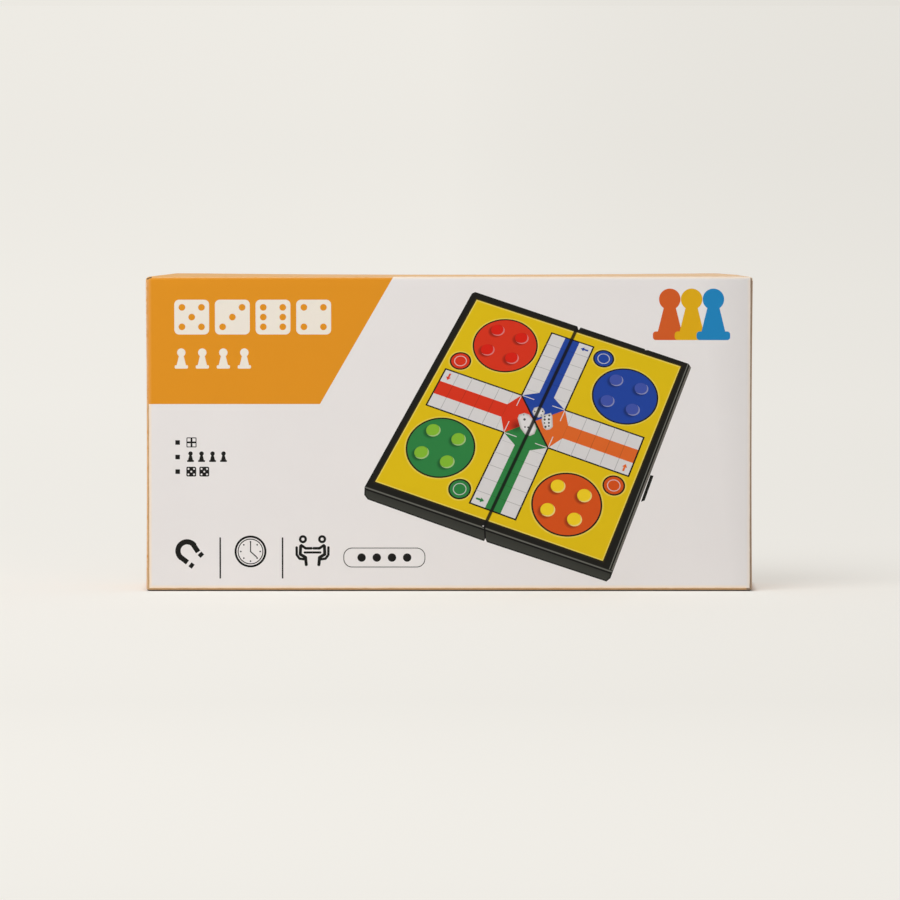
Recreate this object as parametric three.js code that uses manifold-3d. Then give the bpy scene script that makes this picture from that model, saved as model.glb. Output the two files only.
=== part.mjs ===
// A flat game box that stands on its long side: a printed card lid over a shallow card tray.
// In it lie a rules leaflet and a folded board case of two hinged shells, with play sheets,
// steel sheets, hinge pins, a clasp, sixteen magnetic pawns and two dice.
// Millimetres. X runs along the box, Y from the printed front to the back and Z up.
// The origin is on the floor, under the middle of the box.
import * as THREE from 'three';
import { mergeVertices } from 'three/addons/utils/BufferGeometryUtils.js';
import Module from 'manifold-3d';

const wasm = await Module();
wasm.setup();

// Board case: two shells that meet rim to rim
const caseLength = 246;
const halfHeight = 121.5; // hinge edge to free edge of one half
const halfDepth = 19.6; // meeting rim to the raised rim round the play sheet
const caseCorner = 4;
const caseEdgeRound = 1.2;
const caseWall = 2;
const caseFloor = 2;
const hingeWall = 4; // thicker, for the knuckles that are let into it
const skirtStep = 1; // how far the skirt by the meeting rim stands out
const skirtDepth = 8;
const meetingGap = 0.3; // between the rims of the closed halves
const hingeEdgeGap = 0.3; // from the hinge axis to the edge of each half

// Play sheets and the steel sheets under them
const rimWidth = 6; // at the three outer edges of a half
const hingeRim = 1.3; // at the hinge edge
const rimRise = 0.5; // rim above the printed face
const sheetThickness = 0.4;
const steelThickness = 0.5;
const sheetGap = 0.1; // between layers
const sheetPlay = 0.3; // round the sheets in their recess
const sheetCorner = 2;

// Hinges: one knuckle of the front half between two of the rear half, on a steel pin
const hingeInset = 41; // middle of each hinge from the end of the case
const knuckleRadius = 2.4;
const knuckleLength = 9;
const knuckleGap = 0.4; // end to end
const swingGap = 0.4; // round a knuckle in the other half
const pinRadius = 1;
const pinGap = 0.15;

// Clasp: a tongue pegged to the front half that reaches under the rear half
const claspWidth = 27;
const claspThickness = 1.5;
const claspFrontReach = 9;
const claspRearReach = 6;
const claspCorner = 2;
const claspGap = 0.15; // to the free edges that it closes
const pegRadius = 1.2;
const pegLength = 1.6;
const pegSetback = 5; // behind the meeting plane
const pegSpacing = 15;
const pegGap = 0.15;

// Pawns and their magnets
const pawnRadius = 7.5;
const pawnBand = 2; // height of the upright band at its foot
const pawnHeight = 5.4;
const pawnTopRadius = 6.1;
const pawnFootRound = 0.5;
const pawnTopRound = 0.7;
const pawnDish = 0.4; // hollow of its top face
const magnetRadius = 4;
const magnetThickness = 1.6;
const magnetGap = 0.15;
const pieceGap = 0.2; // from a stored piece to what carries it
const pawnSpacing = 27; // between the pawns of one colour
const homeNear = 63; // middle of a home from the board's two centre lines
const homeFar = 72;

// Dice
const dieSize = 11;
const dieRoundShare = 1.42; // round of the corners: sphere radius over half the size
const dieSpacing = 17;

// Card box
const lidCard = 1.2;
const trayCard = 1.2;
const lidEdgeRound = 1; // round of the folds about the front
const lidCorner = 2;
const trayEdgeRound = 0.8;
const trayCorner = 1.6;
const cardInnerRound = 0.5;
const lidFit = 0.4; // between the walls of lid and tray
const lidRearSetback = 0.3; // lid rim short of the tray's back
const sideRoom = 4.2; // case to tray, at each end
const headRoom = 5.95; // case to tray, above the hinge edge
const frontRoom = 1.05; // case to the lid's printed panel
const backRoom = 1.05; // case to the tray's back panel
const trayWallDepth = 20.3; // tray walls in front of its back panel
const seatGap = 0.3; // under what stands in the tray

// Rules leaflet: a folded paper sheet
const leafletLength = 148;
const leafletHeight = 105;
const leafletThickness = 0.6;
const leafletGap = 0.2; // to the back panel that it leans on

// Fineness and the overrun of every cut
const roundSteps = 20; // flats round a pawn, knuckle or pin
const cornerSteps = 4; // flats round one corner
const edgeSteps = 3; // flats across a rounded edge
const dieDetail = 3;
const overrun = 1;

// Places that follow from the sizes, in the frame of one half: the hinge axis is the X axis,
// Y runs from the meeting plane out to the play face, and Z is up
const meetingRim = meetingGap / 2;
const playFace = meetingRim + halfDepth;
const hingeEdge = -hingeEdgeGap;
const freeEdge = hingeEdge - halfHeight;
const sheetOuterFace = playFace - rimRise;
const steelOuterFace = sheetOuterFace - sheetThickness - sheetGap;
const recessFloor = steelOuterFace - steelThickness - sheetGap;
const innerFloor = recessFloor - caseFloor;
const upperHalfLength = caseLength / 2 - skirtStep;
const upperFreeEdge = freeEdge + skirtStep;
const cavityHalfLength = upperHalfLength - caseWall;
const cavityFreeEdge = upperFreeEdge + caseWall;
const cavityHingeEdge = hingeEdge - hingeWall;
const recess = {
  halfWidth: upperHalfLength - rimWidth,
  bottom: upperFreeEdge + rimWidth,
  top: hingeEdge - hingeRim,
};

// Places in the frame of the box
const lidHalfDepth = meetingRim + halfDepth + frontRoom + lidCard;
const backPanelInner = meetingRim + halfDepth + backRoom;
const backPanelOuter = backPanelInner + trayCard;
const trayHalfLength = caseLength / 2 + sideRoom + trayCard;
const lidHalfLength = trayHalfLength + lidFit + lidCard;
const trayBottom = lidCard + lidFit;
const trayFloor = trayBottom + trayCard;
const caseBottom = trayFloor + seatGap + claspThickness + claspGap;
const hingeAxis = caseBottom + halfHeight + hingeEdgeGap;
const trayInnerTop = hingeAxis - hingeEdgeGap + headRoom;
const trayTop = trayInnerTop + trayCard;
const lidTop = trayTop + lidFit + lidCard;

function material(color, roughness, metalness = 0) {
  return new THREE.MeshStandardMaterial({ color, roughness, metalness });
}

const materials = {
  orangeCard: material(0xde932d, 0.55),
  whiteCard: material(0xe0dcd4, 0.7),
  paper: material(0xeeebe2, 0.8),
  blackPlastic: material(0x1c1e1a, 0.4),
  yellowPrint: material(0xdac020, 0.35),
  steel: material(0x9a9da1, 0.35, 1),
  magnet: material(0x57595c, 0.45, 1),
  red: material(0xe62d28, 0.35),
  blue: material(0x484eb9, 0.35),
  green: material(0x82c33c, 0.35),
  yellow: material(0xebd21e, 0.35),
  dieWhite: material(0xf2f0ea, 0.3),
};

// Solids for cuts and joins
function solidOf(geometry) {
  const plain = geometry.clone();
  plain.deleteAttribute('normal');
  plain.deleteAttribute('uv');
  const merged = mergeVertices(plain);
  return new wasm.Manifold(new wasm.Mesh({
    numProp: 3,
    vertProperties: Float32Array.from(merged.attributes.position.array),
    triVerts: Uint32Array.from(merged.index.array),
  }));
}

function geometryOf(solid) {
  const mesh = solid.getMesh();
  const geometry = new THREE.BufferGeometry();
  geometry.setAttribute('position', new THREE.BufferAttribute(mesh.vertProperties, 3));
  geometry.setIndex(new THREE.BufferAttribute(mesh.triVerts, 1));
  geometry.computeVertexNormals();
  return geometry;
}

// A closed skin over rings of points that follow one another along +Y, with flat ends
function skin(rings) {
  const count = rings[0].length;
  const lastRing = (rings.length - 1) * count;
  const faces = [];
  for (let i = 1; i + 1 < count; i += 1) {
    faces.push(0, i, i + 1);
    faces.push(lastRing, lastRing + i + 1, lastRing + i);
  }
  for (let ring = 0; ring < lastRing; ring += count) {
    for (let i = 0; i < count; i += 1) {
      const next = (i + 1) % count;
      faces.push(ring + i, ring + count + i, ring + next);
      faces.push(ring + count + i, ring + count + next, ring + next);
    }
  }
  const geometry = new THREE.BufferGeometry();
  geometry.setAttribute('position', new THREE.Float32BufferAttribute(rings.flat(2), 3));
  geometry.setIndex(faces);
  geometry.computeVertexNormals();
  return geometry;
}

// A rectangle with round corners across the Y axis, walked from +X towards +Z
function roundedRing({ at, halfWidth, bottom, top, radius }) {
  const round = Math.min(radius, halfWidth, (top - bottom) / 2);
  const corners = [
    [halfWidth - round, top - round],
    [round - halfWidth, top - round],
    [round - halfWidth, bottom + round],
    [halfWidth - round, bottom + round],
  ];
  const ring = [];
  corners.forEach(([x, z], quarter) => {
    for (let step = 0; step <= cornerSteps; step += 1) {
      const angle = (quarter + step / cornerSteps) * Math.PI / 2;
      ring.push([x + round * Math.cos(angle), at, z + round * Math.sin(angle)]);
    }
  });
  return ring;
}

function circleRing(at, radius) {
  const ring = [];
  for (let step = 0; step < roundSteps; step += 1) {
    const angle = 2 * Math.PI * step / roundSteps;
    ring.push([radius * Math.cos(angle), at, radius * Math.sin(angle)]);
  }
  return ring;
}

// A block between two planes across Y
function block(from, to, outline) {
  return skin([roundedRing({ ...outline, at: from }), roundedRing({ ...outline, at: to })]);
}

// Rings of a block whose edge is rounded off as it comes to the plane end
function roundedEnd(end, towards, edge, outline) {
  const round = Math.min(edge, outline.radius / 2);
  const rings = [];
  for (let step = 0; step <= edgeSteps; step += 1) {
    const angle = step / edgeSteps * Math.PI / 2;
    const inset = round * (1 - Math.cos(angle));
    rings.push(roundedRing({
      at: end - towards * round * (1 - Math.sin(angle)),
      halfWidth: outline.halfWidth - inset,
      bottom: outline.bottom + inset,
      top: outline.top - inset,
      radius: outline.radius - inset,
    }));
  }
  return rings;
}

// A rod along Y, its middle at the origin
function rod(radius, length) {
  return skin([circleRing(-length / 2, radius), circleRing(length / 2, radius)]);
}

function rodAlongX(radius, length, middle) {
  return rod(radius, length).rotateZ(-Math.PI / 2).translate(middle, 0, 0);
}

// Board case
const knucklePitch = knuckleLength + knuckleGap;
const pinLength = 2 * knucklePitch + knuckleLength;
const hingeOffset = caseLength / 2 - hingeInset;
const hingeMiddles = [-hingeOffset, hingeOffset];
const rearKnuckles = hingeMiddles.flatMap((x) => [x - knucklePitch, x + knucklePitch]);
const frontKnuckles = hingeMiddles;

function shell(ownKnuckles, otherKnuckles) {
  const skirt = { halfWidth: caseLength / 2, bottom: freeEdge, top: hingeEdge, radius: caseCorner };
  const upper = { halfWidth: upperHalfLength, bottom: upperFreeEdge, top: hingeEdge, radius: caseCorner };
  const skirtTop = meetingRim + skirtDepth;
  const outside = skin([
    roundedRing({ ...skirt, at: meetingRim }),
    roundedRing({ ...skirt, at: skirtTop }),
    roundedRing({ ...upper, at: skirtTop }),
    ...roundedEnd(playFace, 1, caseEdgeRound, upper),
  ]);
  const cavity = block(meetingRim - overrun, innerFloor, {
    halfWidth: cavityHalfLength,
    bottom: cavityFreeEdge,
    top: cavityHingeEdge,
    radius: caseCorner - caseWall,
  });
  const sheetRecess = block(recessFloor, playFace + overrun, { ...recess, radius: sheetCorner });
  let solid = solidOf(outside).subtract(solidOf(cavity)).subtract(solidOf(sheetRecess));
  otherKnuckles.forEach((x) => {
    const notch = rodAlongX(knuckleRadius + swingGap, knuckleLength + 2 * knuckleGap, x);
    solid = solid.subtract(solidOf(notch));
  });
  ownKnuckles.forEach((x) => {
    solid = solid.add(solidOf(rodAlongX(knuckleRadius, knuckleLength, x)));
  });
  hingeMiddles.forEach((x) => {
    solid = solid.subtract(solidOf(rodAlongX(pinRadius + pinGap, pinLength + 2 * knuckleGap, x)));
  });
  return solid;
}

function rearShell() {
  return geometryOf(shell(rearKnuckles, frontKnuckles));
}

// Pegs of the clasp, or with more radius the holes that take them
function pegs(radius, from, to) {
  return [-pegSpacing / 2, pegSpacing / 2].map((x) => solidOf(
    rod(radius, to - from).rotateX(Math.PI / 2).translate(x, pegSetback, (from + to) / 2),
  ));
}

function frontShell() {
  let solid = shell(frontKnuckles, rearKnuckles);
  pegs(pegRadius + pegGap, freeEdge - overrun, freeEdge + pegLength + pegGap).forEach((hole) => {
    solid = solid.subtract(hole);
  });
  return geometryOf(solid);
}

function clasp() {
  const innerFace = freeEdge - claspGap;
  const plate = block(innerFace - claspThickness, innerFace, {
    halfWidth: claspWidth / 2,
    bottom: -claspFrontReach,
    top: claspRearReach,
    radius: claspCorner,
  }).rotateX(Math.PI / 2);
  let solid = solidOf(plate);
  pegs(pegRadius, innerFace - claspThickness / 2, freeEdge + pegLength).forEach((peg) => {
    solid = solid.add(peg);
  });
  return geometryOf(solid);
}

function hingePin(middle) {
  return rodAlongX(pinRadius, pinLength, middle);
}

function sheet(outerFace, thickness) {
  return block(outerFace - thickness, outerFace, {
    halfWidth: recess.halfWidth - sheetPlay,
    bottom: recess.bottom + sheetPlay,
    top: recess.top - sheetPlay,
    radius: sheetCorner,
  });
}

// A pawn with its foot on the plane y = 0 and its head towards -Y, and its magnet's pocket
function pawn() {
  const pocketRadius = magnetRadius + magnetGap;
  return skin([
    circleRing(pawnDish - pawnHeight, pawnTopRadius - 2 * pawnTopRound),
    circleRing(-pawnHeight, pawnTopRadius - pawnTopRound),
    circleRing(pawnTopRound - pawnHeight, pawnTopRadius),
    circleRing(-pawnBand, pawnRadius),
    circleRing(-pawnFootRound, pawnRadius),
    circleRing(0, pawnRadius - pawnFootRound),
    circleRing(0, pocketRadius),
    circleRing(-magnetThickness - magnetGap, pocketRadius),
  ]);
}

function magnet() {
  return rod(magnetRadius, magnetThickness).translate(0, -magnetThickness / 2, 0);
}

function die() {
  const cube = new THREE.BoxGeometry(dieSize, dieSize, dieSize);
  const ball = new THREE.IcosahedronGeometry(dieRoundShare * dieSize / 2, dieDetail);
  return geometryOf(solidOf(cube).intersect(solidOf(ball)));
}

// Card box
function lid() {
  const rim = backPanelOuter - lidRearSetback;
  const outline = { halfWidth: lidHalfLength, bottom: 0, top: lidTop, radius: lidCorner };
  const outside = skin([
    ...roundedEnd(-lidHalfDepth, -1, lidEdgeRound, outline).reverse(),
    roundedRing({ ...outline, at: rim }),
  ]);
  const inside = block(lidCard - lidHalfDepth, rim + overrun, {
    halfWidth: lidHalfLength - lidCard,
    bottom: lidCard,
    top: lidTop - lidCard,
    radius: cardInnerRound,
  });
  return geometryOf(solidOf(outside).subtract(solidOf(inside)));
}

function tray() {
  const rim = backPanelInner - trayWallDepth;
  const outline = { halfWidth: trayHalfLength, bottom: trayBottom, top: trayTop, radius: trayCorner };
  const outside = skin([
    roundedRing({ ...outline, at: rim }),
    ...roundedEnd(backPanelOuter, 1, trayEdgeRound, outline),
  ]);
  const inside = block(rim - overrun, backPanelInner, {
    halfWidth: trayHalfLength - trayCard,
    bottom: trayFloor,
    top: trayInnerTop,
    radius: cardInnerRound,
  });
  return geometryOf(solidOf(outside).subtract(solidOf(inside)));
}

function leaflet() {
  const outerFace = backPanelInner - leafletGap;
  return block(outerFace - leafletThickness, outerFace, {
    halfWidth: leafletLength / 2,
    bottom: trayFloor + seatGap,
    top: trayFloor + seatGap + leafletHeight,
    radius: cardInnerRound,
  });
}

function place(parent, name, geometry, finish) {
  const mesh = new THREE.Mesh(geometry, finish);
  mesh.name = name;
  parent.add(mesh);
  return mesh;
}

// What one shell carries: a steel sheet under a play sheet, and eight stored pawns
const homes = [[homeFar, -homeNear], [-homeNear, -homeFar]];
const corners = [[-1, 1], [1, 1], [-1, -1], [1, -1]];

function fillHalf(half, side, colours) {
  place(half, `steel_sheet_${side}`, sheet(steelOuterFace, steelThickness), materials.steel);
  place(half, `play_sheet_${side}`, sheet(sheetOuterFace, sheetThickness), materials.yellowPrint);
  colours.forEach((colour, home) => {
    corners.forEach(([right, up], index) => {
      const x = homes[home][0] + right * pawnSpacing / 2;
      const z = homes[home][1] + up * pawnSpacing / 2;
      const foot = innerFloor - pieceGap;
      const number = index + 1;
      place(half, `pawn_${colour}_${number}`, pawn(), materials[colour]).position.set(x, foot, z);
      place(half, `magnet_${colour}_${number}`, magnet(), materials.magnet).position.set(x, foot, z);
    });
  });
}

const gameBox = new THREE.Group();
place(gameBox, 'tray', tray(), materials.whiteCard);
place(gameBox, 'rules_leaflet', leaflet(), materials.paper);
place(gameBox, 'lid', lid(), materials.orangeCard);

const rearHalf = new THREE.Group();
rearHalf.position.z = hingeAxis;
gameBox.add(rearHalf);
place(rearHalf, 'case_rear', rearShell(), materials.blackPlastic);
fillHalf(rearHalf, 'rear', ['red', 'green']);
['left', 'right'].forEach((side, index) => {
  place(rearHalf, `hinge_pin_${side}`, hingePin(hingeMiddles[index]), materials.steel);
  const x = (index - 1 / 2) * dieSpacing;
  const depth = innerFloor - pieceGap - dieSize / 2;
  const height = cavityFreeEdge + pieceGap + dieSize / 2;
  place(rearHalf, `die_${side}`, die(), materials.dieWhite).position.set(x, depth, height);
});

const frontHalf = new THREE.Group();
frontHalf.position.z = hingeAxis;
frontHalf.rotation.z = Math.PI;
gameBox.add(frontHalf);
place(frontHalf, 'case_front', frontShell(), materials.blackPlastic);
place(frontHalf, 'clasp', clasp(), materials.blackPlastic);
fillHalf(frontHalf, 'front', ['yellow', 'blue']);

export default gameBox;
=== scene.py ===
import math
import bpy
import numpy as np
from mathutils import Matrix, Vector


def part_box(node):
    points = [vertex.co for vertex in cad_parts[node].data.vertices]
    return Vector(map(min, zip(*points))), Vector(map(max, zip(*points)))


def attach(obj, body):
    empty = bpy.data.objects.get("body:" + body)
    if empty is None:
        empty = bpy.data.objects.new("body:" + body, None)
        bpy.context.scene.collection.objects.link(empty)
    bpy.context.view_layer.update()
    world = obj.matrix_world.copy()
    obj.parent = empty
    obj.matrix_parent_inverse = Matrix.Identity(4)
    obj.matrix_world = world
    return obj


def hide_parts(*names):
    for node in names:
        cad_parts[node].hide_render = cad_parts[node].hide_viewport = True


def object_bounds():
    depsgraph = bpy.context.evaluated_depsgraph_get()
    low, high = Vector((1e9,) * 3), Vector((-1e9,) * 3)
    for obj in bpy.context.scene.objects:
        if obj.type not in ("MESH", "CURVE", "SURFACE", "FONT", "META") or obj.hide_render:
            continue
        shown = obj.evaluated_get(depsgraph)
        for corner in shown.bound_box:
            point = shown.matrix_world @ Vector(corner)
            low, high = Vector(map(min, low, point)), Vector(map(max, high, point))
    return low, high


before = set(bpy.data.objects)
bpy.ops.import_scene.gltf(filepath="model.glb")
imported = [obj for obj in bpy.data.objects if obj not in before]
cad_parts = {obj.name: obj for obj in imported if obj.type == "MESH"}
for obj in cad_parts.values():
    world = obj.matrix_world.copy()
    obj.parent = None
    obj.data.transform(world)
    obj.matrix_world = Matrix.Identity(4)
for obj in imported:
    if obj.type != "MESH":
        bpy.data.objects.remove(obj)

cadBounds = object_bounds()


def ink(red, green, blue):  # a colour of 0 to 255 a channel, as Blender's linear colour
    values = []
    for channel in (red, green, blue):
        part = channel / 255
        values.append(part / 12.92 if part <= 0.04045 else ((part + 0.055) / 1.055) ** 2.4)
    return (*values, 1.0)


def shaded(colour, share):  # the same colour, darker or paler
    return tuple(min(1.0, c * share) for c in colour[:3]) + (1.0,)


# shader sums: a Wire is a socket, and each operator on it adds one Math or Vector Math node
class Wire:
    def __init__(self, finish, socket):
        self.finish = finish
        self.socket = socket

    def isVector(self):
        return self.socket.type in {"VECTOR", "RGBA"}

    def __add__(self, other):
        return self.finish.calc("ADD", self, other)

    def __radd__(self, other):
        return self.finish.calc("ADD", other, self)

    def __sub__(self, other):
        return self.finish.calc("SUBTRACT", self, other)

    def __rsub__(self, other):
        return self.finish.calc("SUBTRACT", other, self)

    def __mul__(self, other):
        return self.finish.calc("MULTIPLY", self, other)

    def __rmul__(self, other):
        return self.finish.calc("MULTIPLY", other, self)

    def __truediv__(self, other):
        return self.finish.calc("DIVIDE", self, other)

    def __lt__(self, other):
        return self.finish.calc("LESS_THAN", self, other)

    def __gt__(self, other):
        return self.finish.calc("GREATER_THAN", self, other)

    def __and__(self, other):  # inside both
        return self.finish.calc("MULTIPLY", self, other)

    def __or__(self, other):  # inside either
        return self.finish.calc("MAXIMUM", self, other)

    def __abs__(self):
        return self.finish.calc("ABSOLUTE", self)


class Finish:  # one material or world, and the ways its nodes are made
    def __init__(self, name, owner=None):
        self.material = owner or bpy.data.materials.new(name)
        self.material.use_nodes = True
        self.tree = self.material.node_tree
        self.tree.nodes.clear()
        self.place = self.node("ShaderNodeTexCoord", output="Object")

    def node(self, kind, settings=None, sockets=None, output=0):
        made = self.tree.nodes.new(kind)
        for key, value in (settings or {}).items():
            if key == "stops":
                ramp = made.color_ramp.elements
                while len(ramp) < len(value):
                    ramp.new(1.0)
                for element, (position, colour) in zip(ramp, value):
                    element.position = position
                    element.color = colour
            else:
                setattr(made, key, value)
        for key, value in (sockets or {}).items():
            if isinstance(value, Wire):
                self.tree.links.new(value.socket, made.inputs[key])
            else:
                made.inputs[key].default_value = value
        return Wire(self, made.outputs[output]) if len(made.outputs) else None

    def calc(self, operation, *values):
        vector = any(v.isVector() if isinstance(v, Wire) else isinstance(v, tuple) for v in values)
        if not vector:
            return self.node("ShaderNodeMath", {"operation": operation}, dict(enumerate(values)))
        values = [(v, v, v) if isinstance(v, (int, float)) else v for v in values]
        output = 1 if operation in {"LENGTH", "DISTANCE", "DOT_PRODUCT"} else 0
        return self.node("ShaderNodeVectorMath", {"operation": operation}, dict(enumerate(values)),
                         output)

    def clamped(self, value, factor=1.0):  # value times factor, held between 0 and 1
        return self.node("ShaderNodeMath", {"operation": "MULTIPLY", "use_clamp": True},
                         {0: value, 1: factor})

    def mix(self, mask, first, second):  # first where the mask is 0, second where it is 1
        return self.node("ShaderNodeMix", {"data_type": "RGBA"}, {0: mask, 6: first, 7: second}, 2)

    def parts(self, vector):
        split = self.node("ShaderNodeSeparateXYZ", sockets={0: vector}).socket.node.outputs
        return Wire(self, split[0]), Wire(self, split[1]), Wire(self, split[2])

    def joined(self, x, y, z):
        return self.node("ShaderNodeCombineXYZ", sockets={0: x, 1: y, 2: z})

    def noise(self, scale, detail=2.0, stretch=None):
        place = self.place * stretch if stretch else self.place
        return self.node("ShaderNodeTexNoise", {}, {"Vector": place, "Scale": scale, "Detail": detail})

    # flat shapes: a spot is (x, 0, y), and each shape gives 1 inside and 0 outside
    def disc(self, spot, at, radius):
        return self.calc("DISTANCE", spot, at) < radius

    def ring(self, spot, at, radius, width):
        return abs(self.calc("DISTANCE", spot, at) - radius) < width / 2

    def slab(self, spot, at, halfX, halfY, corner=0.5):  # a box with rounded corners
        beyond = abs(spot - at) - (halfX - corner, 0.0, halfY - corner)
        return self.calc("LENGTH", self.calc("MAXIMUM", beyond, (0.0, 0.0, 0.0))) < corner

    def stroke(self, spot, start, end, width):  # a line with round ends
        along = np.subtract(end, start)
        fromStart = spot - start
        share = self.clamped(self.calc("DOT_PRODUCT", fromStart, tuple(along)), 1 / float(along @ along))
        reach = self.node("ShaderNodeVectorMath", {"operation": "SCALE"}, {0: tuple(along), "Scale": share})
        return self.calc("DISTANCE", fromStart, reach) < width / 2

    def strokes(self, spot, width, *points):
        mask = self.stroke(spot, points[0], points[1], width)
        for start, end in zip(points[1:], points[2:]):
            mask = mask | self.stroke(spot, start, end, width)
        return mask

    def besides(self, spot, start, end):  # how far a spot lies to the right of a line, looking along it
        across = np.array([-(end[2] - start[2]), 0, end[0] - start[0]])
        across = across / np.linalg.norm(across)
        return self.calc("DOT_PRODUCT", spot, tuple(across)) - float(across @ np.array(start))

    def depthIn(self, spot, *corners):  # how deep a spot lies in a convex outline, clockwise as seen
        depth = None
        for start, end in zip(corners, corners[1:] + corners[:1]):
            inside = self.besides(spot, at(*start), at(*end))
            depth = inside if depth is None else self.calc("MINIMUM", depth, inside)
        return depth

    def polygon(self, spot, *corners):
        return self.depthIn(spot, *corners) > 0.0

    def repeated(self, spot, first, step, count, down=False):  # folds a row of equal shapes onto the first
        x, y = self.parts(spot)[::2]
        along, start = (y, first[2]) if down else (x, first[0])
        reach = abs(along - (start + step * (count - 1) / 2)) < step * count / 2
        folded = self.calc("WRAP", along - start, step / 2, -step / 2) + start
        return (self.joined(x, 0.0, folded) if down else self.joined(folded, 0.0, y)), reach

    def toned(self, scale, detail, first, second):  # two colours mixed by noise
        return self.mix(self.noise(scale, detail), first, second)

    def mottled(self, scale, detail, colour, dark, pale):  # two shades of a colour mixed by noise
        return self.toned(scale, detail, shaded(colour, dark), shaded(colour, pale))

    def spread(self, scale, detail, share, least):  # a value that noise lifts above its least
        return self.noise(scale, detail) * share + least

    def patches(self, scale, detail, least, rise, stretch=None):  # 1 where the noise is well over least
        return self.clamped(self.noise(scale, detail, stretch) - least, rise)

    # relief is the scale and detail of the noise, then the strength and depth of the bump
    def done(self, relief, bump=None, **sockets):
        scale, detail, strength, distance = relief
        if bump is None:
            bump = self.noise(scale, detail)
        sockets["Normal"] = self.node(
            "ShaderNodeBump", {}, {"Height": bump, "Strength": strength, "Distance": distance})
        named = {key.replace("_", " "): value for key, value in sockets.items()}
        shader = self.node("ShaderNodeBsdfPrincipled", {}, named)
        self.node("ShaderNodeOutputMaterial", {}, {"Surface": shader})
        return self.material


def at(x, y):  # a place on a flat print
    return (float(x), 0.0, float(y))


def places(corners):
    return [at(*corner) for corner in corners]


def boxOf(node):  # the CAD node's lowest and highest corner
    return [np.array(corner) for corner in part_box(node)]


# camera: nearly level and far off, so the front stays square and a sliver of the top shows
studioReach = 600  # how far the floor runs, in metres
photo = {
    "pixelsPerMetre": 2333.0, "middleX": 449.25, "floorY": 591.6, "frame": 900,
    "distance": 3.0, "height": 0.252,
}


def makeCamera():
    middle = photo["frame"] / 2
    aimX = (middle - photo["middleX"]) / photo["pixelsPerMetre"]
    aimZ = (photo["floorY"] - middle) / photo["pixelsPerMetre"]
    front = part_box("lid")[0][1]
    place = np.array([aimX, front - photo["distance"], photo["height"]])
    aim = np.array([aimX, front, aimZ])
    reach = float(np.linalg.norm(aim - place))
    width = photo["frame"] / photo["pixelsPerMetre"]
    data = bpy.data.cameras.new("camera")
    data.sensor_width = 36
    data.lens = data.sensor_width * reach / width
    data.clip_end = 2 * studioReach
    camera = bpy.data.objects.new("camera", data)
    camera.location = place
    camera.rotation_euler = (math.pi / 2 - math.atan2(place[2] - aim[2], photo["distance"]), 0, 0)
    bpy.context.scene.collection.objects.link(camera)
    bpy.context.scene.camera = camera


makeCamera()
print("camera ready")

# studio: even sky light, a big soft lamp at the upper left front, a weaker one far to the right,
# and a pale floor that a camera sees mostly as plain colour, so that it stays as light as a
# studio's and still takes the shadow; that plain colour holds painted light, bands by depth
studio = {
    "sky": 0.37, "skySeen": ink(236, 233, 226), "floor": ink(250, 247, 241),
    "plainNear": 0.43, "plainFar": 0.88, "plainHalf": 0.4, "contact": 0.003,
    "depthHalf": 0.5, "fall": 0.125, "fallNear": 0.12, "fallFar": 0.04, "skyNear": 0.0001,
    "floorSeenPaintedLight": [(share, ink(red, red - 3, red - 10)) for share, red in (
        (0.165, 245), (0.25, 236), (0.36, 242), (0.44, 246), (0.55, 251), (0.87, 254), (0.93, 251),
        (0.975, 246))],
}
lamps = {  # place, aim, size across, power
    "softbox": ((-0.48, -0.6, 1.0), (0.0, 0.0, 0.06), 1.05, 9.2),
    "fill": ((1.6, -2.2, 0.5), (0.1, 0.0, 0.03), 1.0, 5.2),
}


def rayShown(finish):  # 1 for the rays that show a surface, 0 for those that light one
    path = finish.node("ShaderNodeLightPath").socket.node.outputs
    names = ("Is Camera Ray", "Is Transmission Ray", "Is Glossy Ray")
    direct, through, mirrored = (Wire(finish, path[name]) for name in names)
    return direct | through | mirrored


# painted shade: the backdrop and the floor darken to the right of the box, the more so behind it
def paintedShadeRight(finish, near, half):
    x, y = finish.parts(finish.place)[:2]
    right = finish.calc("MAXIMUM", x, 0.0)
    share = right / (right + (abs(y) * studio["fallFar"] + near))
    return 1.0 - share * finish.clamped(y / (abs(y) + half)) * studio["fall"]


def makeWorld():
    world = bpy.data.worlds.new("studio")
    bpy.context.scene.world = world
    sky = Finish("sky", world)
    fall = paintedShadeRight(sky, studio["skyNear"], studio["skyNear"])
    seen = sky.calc("MULTIPLY", fall, studio["skySeen"][:3])
    light = sky.node("ShaderNodeBackground", {}, {"Color": (1, 1, 1, 1), "Strength": studio["sky"]})
    shown = sky.node("ShaderNodeBackground", {}, {"Color": seen})
    mixed = sky.node("ShaderNodeMixShader", {}, {0: rayShown(sky), 1: light, 2: shown})
    sky.node("ShaderNodeOutputWorld", {}, {"Surface": mixed})


def makeLamp(name, place, aim, size, power):
    softbox = bpy.data.lights.new(name, "AREA")
    softbox.shape = "DISK"
    softbox.size = size
    softbox.energy = power
    lamp = bpy.data.objects.new(name, softbox)
    lamp.location = place
    x, y, z = np.subtract(place, aim)
    lamp.rotation_euler = (math.atan2(math.hypot(x, y), z), 0, math.atan2(y, x) + math.pi / 2)
    bpy.context.scene.collection.objects.link(lamp)


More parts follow.
